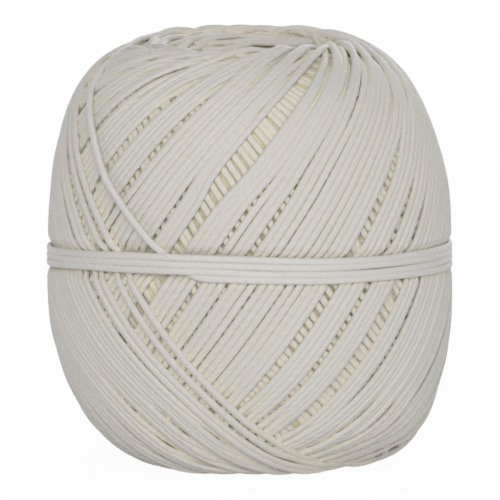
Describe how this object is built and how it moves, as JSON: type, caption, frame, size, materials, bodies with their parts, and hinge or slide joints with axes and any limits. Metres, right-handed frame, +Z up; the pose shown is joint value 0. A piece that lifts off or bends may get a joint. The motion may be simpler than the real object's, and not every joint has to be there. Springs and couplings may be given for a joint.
{
  "type": "waxed thread ball",
  "caption": "Free-standing cross-wound ball of cream waxed thread with no core tube, a dished crown, an open winding bore and a band of level turns that locks its waist.",
  "frame": {"origin": "centre of the flat ring that the ball stands on", "axes": "+Z up along the winding axis and the bore; -Y towards the side where the last strand comes down into the waist band"},
  "size_m": [0.0572, 0.0572, 0.059],
  "materials": {
    "buried_thread": "waxed, matt",
    "outer_thread": "waxed, low sheen",
    "band_thread": "waxed, low sheen"
  },
  "bodies": {
    "root": {"inner_winding": "buried_thread", "cross_winding": "outer_thread", "waist_band": "band_thread"}
  },
  "joints": []
}
